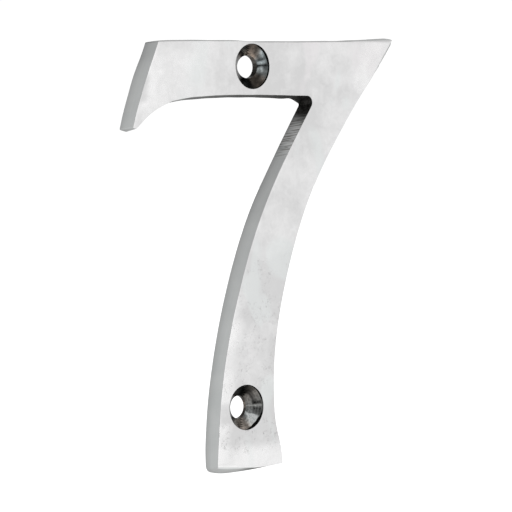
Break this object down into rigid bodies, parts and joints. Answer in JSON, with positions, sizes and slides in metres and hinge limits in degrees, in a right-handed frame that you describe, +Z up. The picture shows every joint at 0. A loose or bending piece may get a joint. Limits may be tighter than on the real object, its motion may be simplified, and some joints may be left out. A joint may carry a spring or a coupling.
{
  "type": "house number",
  "caption": "Cast satin chrome house number 7 with tapered sides and two countersunk screw holes, fixed flat to a wall or door.",
  "frame": {"origin": "where the upper screw hole's bore opens on the back face, on the bore's axis", "axes": "the numeral stands upright as it hangs on the wall: +Z up along its height, +X to the reader's right, +Y into the wall, so the front face looks along -Y"},
  "size_m": [0.063, 0.0029, 0.0761],
  "materials": {
    "satin_chrome": "satin, fine linished face with soft polished edges and plainer cast sides"
  },
  "bodies": {
    "root": {"numeral_seven": "satin_chrome"}
  },
  "joints": []
}
